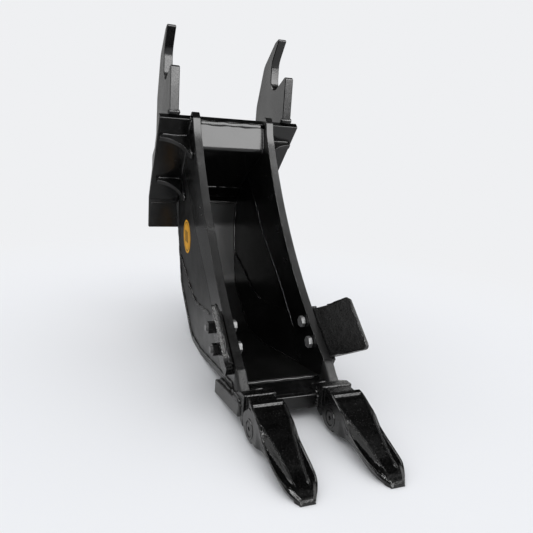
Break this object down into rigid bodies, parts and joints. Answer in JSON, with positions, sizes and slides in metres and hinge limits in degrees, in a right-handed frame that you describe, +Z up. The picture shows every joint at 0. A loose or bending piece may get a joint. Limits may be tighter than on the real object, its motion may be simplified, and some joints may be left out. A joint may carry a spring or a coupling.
{
  "type": "narrow excavator trenching bucket with quick-coupler hooks",
  "caption": "Narrow welded digging bucket with two hook ears for a wedge-type quick coupler, two bolted side cutters and pinned wedge teeth.",
  "frame": {"origin": "centre of the bounding box in X and Y, at its bottom, which is the plane the bucket stands on", "axes": "+Z up, +X to the bucket's right as seen from behind the teeth looking back, -Y the way the teeth point, so +Y runs from the tooth tips to the back of the hook ears and is the longest extent"},
  "size_m": [0.524, 1.4269, 1.1303],
  "materials": {
    "black_paint": "semi-gloss black paint on welded plate",
    "ear_paint": "semi-gloss black paint on machined plate",
    "cast_paint": "black paint on rough cast steel",
    "dark_fastener": "dark fastener, overpainted",
    "orange_decal": "printed vinyl disc"
  },
  "bodies": {
    "bucket": {"side_bar_left": "black_paint", "side_plate_left": "black_paint", "lower_side_plate_left": "black_paint", "side_bar_right": "black_paint", "side_plate_right": "black_paint", "lower_side_plate_right": "black_paint", "back_shell": "black_paint", "bottom_shell": "black_paint", "lip_plate": "black_paint", "base_plate": "black_paint", "torque_tube": "black_paint", "wedge_bar": "black_paint", "gusset_upper_left": "black_paint", "gusset_lower_left": "black_paint", "hook_ear_left": "ear_paint", "adapter_left": "cast_paint", "tip_left": "cast_paint", "side_cutter_left": "cast_paint", "cutter_bolt_left_1": "dark_fastener", "cutter_washer_left_1": "dark_fastener", "cutter_nut_left_1": "dark_fastener", "cutter_bolt_left_2": "dark_fastener", "cutter_washer_left_2": "dark_fastener", "cutter_nut_left_2": "dark_fastener", "round_decal_left": "orange_decal", "gusset_upper_right": "black_paint", "gusset_lower_right": "black_paint", "hook_ear_right": "ear_paint", "adapter_right": "cast_paint", "tip_right": "cast_paint", "side_cutter_right": "cast_paint", "cutter_bolt_right_1": "dark_fastener", "cutter_washer_right_1": "dark_fastener", "cutter_nut_right_1": "dark_fastener", "cutter_bolt_right_2": "dark_fastener", "cutter_washer_right_2": "dark_fastener", "cutter_nut_right_2": "dark_fastener", "round_decal_right": "orange_decal"},
    "lock_left": {"tip_lock_left": "dark_fastener"},
    "lock_right": {"tip_lock_right": "dark_fastener"}
  },
  "joints": [
    {"name": "lock_turn_left", "type": "hinge", "parent": "bucket", "child": "lock_left", "pos_m": [-0.16225, -0.453, 0.045], "axis": [1, 0, 0], "range_deg": [0, 180]},
    {"name": "lock_turn_right", "type": "hinge", "parent": "bucket", "child": "lock_right", "pos_m": [0.06775, -0.453, 0.045], "axis": [1, 0, 0], "range_deg": [0, 180]}
  ]
}
